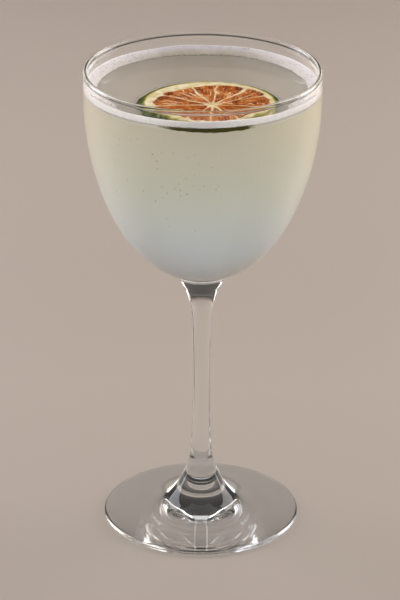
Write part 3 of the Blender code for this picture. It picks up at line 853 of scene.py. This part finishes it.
def makeFroth():
    g, v, d = glassValues, frothValues, drinkValues
    n = v["around"]
    angle = np.linspace(0, 2 * np.pi, n, endpoint=False)
    wall = g["bowlRadius"] - g["wall"] + d["intoWall"]
    top = v["top"] - v["topSlope"] * np.sin(angle) + 0.10 * mm * ringNoise(angle, 21, range(2, 20))
    inner = (v["inner"] + (v["innerSide"] - v["inner"]) * np.abs(np.cos(angle))
             + 0.16 * mm * ringNoise(angle, 22, range(3, 90)))
    rise = d["level"] + d["meniscusRise"]
    base = d["level"] - 0.05 * mm
    # section from the thin inner skirt up to the wall, as (way to the wall, height)
    section = smoothThrough([(0.0, 0.0), (0.015, 0.10), (0.08, 0.22), (0.3, 0.42), (0.55, 0.60), (0.8, 0.78),
                             (0.93, 0.90), (1.0, 1.0)], 5)
    rows, body = [], []
    for t, h in section:
        radius = inner + (wall - inner) * t
        rows.append(np.stack([radius * np.cos(angle), radius * np.sin(angle), base + (top - base) * h], 1))
        body.append(np.full(n, h))
    # down the glass it ends raggedly, just outside the drink
    lift, spread = v["overLime"]
    overLime = lift * np.exp(-((angle - 1.5 * np.pi) / spread) ** 2)
    ragged = (rise - 0.12 * mm + overLime + 0.06 * mm * ringNoise(angle, 23, range(40, 260))
              + 0.08 * mm * ringNoise(angle, 24, range(2, 12)))
    for t in np.linspace(0, 1, 12)[1:]:
        z = top + (ragged - top) * t
        reach = wall + 0.012 * mm
        rows.append(np.stack([reach * np.cos(angle), reach * np.sin(angle), z], 1))
        body.append(np.full(n, 1.0))
    for t in np.linspace(1, 0, 6)[1:-1]:
        radius = inner + (wall - inner) * t
        z = np.full(n, d["level"] - 0.1 * mm + d["meniscusRise"] * t ** 1.6)
        rows.append(np.stack([radius * np.cos(angle), radius * np.sin(angle), z], 1))
        body.append(np.zeros(n))
    points = np.concatenate(rows)
    air = np.zeros(len(points))
    air[:len(section) * n] = smoothStep(wall, wall - 0.4 * mm, np.hypot(*points[:len(section) * n, :2].T))
    points[:, 2] += air * (valueNoise(points, 0.8 * mm, 31) * 0.06 * mm
                           + valueNoise(points, 2.4 * mm, 32) * 0.08 * mm)
    # the collar stops where the lime lies in it
    lime = limeValues
    lx, ly = points[:, 0] - lime["centre"][0], points[:, 1] - lime["centre"][1]
    around = np.arctan2(ly / lime["radii"][1], lx / lime["radii"][0])
    inLime = np.hypot(lx, ly) < np.hypot(*limeOutline(around, 0.9)) - 0.2 * mm
    points[:, 2] = np.where(inLime, np.minimum(points[:, 2], d["level"] - 2.5 * mm), points[:, 2])
    faces = ringFaces(len(rows), n, closed=True)
    piece = meshPiece("frothCollar", points, faces, [frothMaterial("fine_wet_foam", False)])
    setAttribute(piece, "body", np.concatenate(body))
    setAttribute(piece, "pressed", smoothStep(wall - 0.25 * mm, wall, np.hypot(points[:, 0], points[:, 1])))
    cells = meshPiece("frothBubbles", points, faces, [])
    setAttribute(cells, "openAir", air * ~inLime)
    growCells(cells)
    for part in (piece, cells):
        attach(part, "root")
    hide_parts("foam_ring")
    print("froth", len(piece.data.polygons), "faces, bubbles", len(cells.data.polygons))


# stage, lights and camera

stageValues = {
    "floorColour": "#9e958d",
    "floorSize": 3.0,
    "floorHeight": -0.1 * mm,
    "cameraDistance": 962.0 * mm,
    "cameraHeight": 509.6 * mm,
    "cameraPitch": 24.03,
    "cameraRoll": 0.22,
    "cameraSide": -0.6 * mm,
    "lens": 186.0,                  # for a 36 mm high sensor
    # the room by the height of the view, from level to straight up
    "backdrop": [(0.0, "#5e5c5a"), (0.15, "#4a4847"), (0.4, "#3c3b3a"), (1.0, "#383736")],
    "bounces": 24,
    # fewer blacken the foot's edge, more spread the softboxes' images over the foot
    "glossyBounces": 10,
}

lightValues = {
    "target": (0.0, 0.0, 0.1),
    # name: place, width, height, watts, colour, mirrored in glass, seen through glass
    "lamps": {
        "leftBox": ((-0.72, 0.38, 0.5), 0.45, 1.0, 5.0, "#f4f6ff", True, True),
        "rightBox": ((0.72, 0.38, 0.5), 0.45, 1.0, 5.0, "#fff9f2", True, True),
        # a pale wall behind, mirrored in the foot and the drink only
        "backBox": ((0.0, 1.5, 0.8), 1.3, 1.3, 1.4, "#fff0e4", True, False),
        "overhead": ((0.0, 0.1, 1.7), 1.6, 1.6, 5.4, "#ffffff", True, True),
        # these fill the shadows and leave no image of themselves in the glass
        "leftFill": ((-0.72, 0.3, 0.38), 0.8, 0.5, 4.0, "#ffeee0", False, False),
        "rightFill": ((0.72, 0.3, 0.38), 0.8, 0.5, 4.0, "#ffeee0", False, False),
        "frontFill": ((0.0, -1.5, 0.9), 1.4, 0.8, 18.5, "#ffffff", False, False),
    },
}


def makeStage():
    v = stageValues
    material, tree = newMaterial("matt_studio_floor")
    shader = addNode(tree, "ShaderNodeBsdfPrincipled", {"Base Color": srgb(v["floorColour"]), "Roughness": 0.8})
    addNode(tree, "ShaderNodeOutputMaterial", {"Surface": shader.outputs["BSDF"]})
    size, height = v["floorSize"], v["floorHeight"]
    corners = [(-size, -size, height), (size, -size, height), (size, size, height), (-size, size, height)]
    floor = meshPiece("studioFloor", corners, [(0, 1, 2, 3)], [material])
    world = bpy.data.worlds.new("studioWorld")
    bpy.context.scene.world = world
    world.use_nodes = True
    # brightest at the horizon, dimmer towards the ceiling
    tree = world.node_tree
    direction = addNode(tree, "ShaderNodeTexCoord").outputs["Generated"]
    height = addNode(tree, "ShaderNodeSeparateXYZ", {0: direction}).outputs["Z"]
    shade = addNode(tree, "ShaderNodeValToRGB", {0: height}, ramp=v["backdrop"]).outputs["Color"]
    tree.links.new(shade, tree.nodes["Background"].inputs["Color"])


def makeLights():
    target = Vector(lightValues["target"])
    for name, (place, width, height, watts, colour, mirrored, through) in lightValues["lamps"].items():
        light = bpy.data.lights.new(name, "AREA")
        light.shape = "RECTANGLE"
        light.size, light.size_y = width, height
        light.energy = watts
        light.color = srgb(colour)[:3]
        lamp = bpy.data.objects.new(name, light)
        lamp.location = place
        lamp.rotation_euler = (target - Vector(place)).to_track_quat("-Z", "Y").to_euler()
        lamp.visible_glossy, lamp.visible_transmission = mirrored, through
        bpy.context.scene.collection.objects.link(lamp)
    print("lights", len(lightValues["lamps"]))


def makeCamera():
    v = stageValues
    camera = bpy.data.cameras.new("photoCamera")
    camera.sensor_fit = "VERTICAL"
    camera.sensor_height = 36.0
    camera.lens = v["lens"]
    camera.clip_start = 0.05
    camera.clip_end = 20.0
    holder = bpy.data.objects.new("photoCamera", camera)
    holder.location = (v["cameraSide"], -v["cameraDistance"], v["cameraHeight"])
    holder.rotation_euler = (math.radians(90 - v["cameraPitch"]), 0.0, 0.0)
    holder.rotation_euler.rotate_axis("Z", math.radians(v["cameraRoll"]))
    bpy.context.scene.collection.objects.link(holder)
    bpy.context.scene.camera = holder


makeGlass()
makeLime()
makeDrink()
makePulp()
makeFroth()
makeStage()
makeLights()
makeCamera()
bpy.context.scene.view_settings.view_transform = "Standard"
# light runs on inside the foot and the rim through many reflections
cycles = bpy.context.scene.cycles
cycles.max_bounces = cycles.transmission_bounces = cycles.transparent_max_bounces = stageValues["bounces"]
cycles.glossy_bounces = stageValues["glossyBounces"]
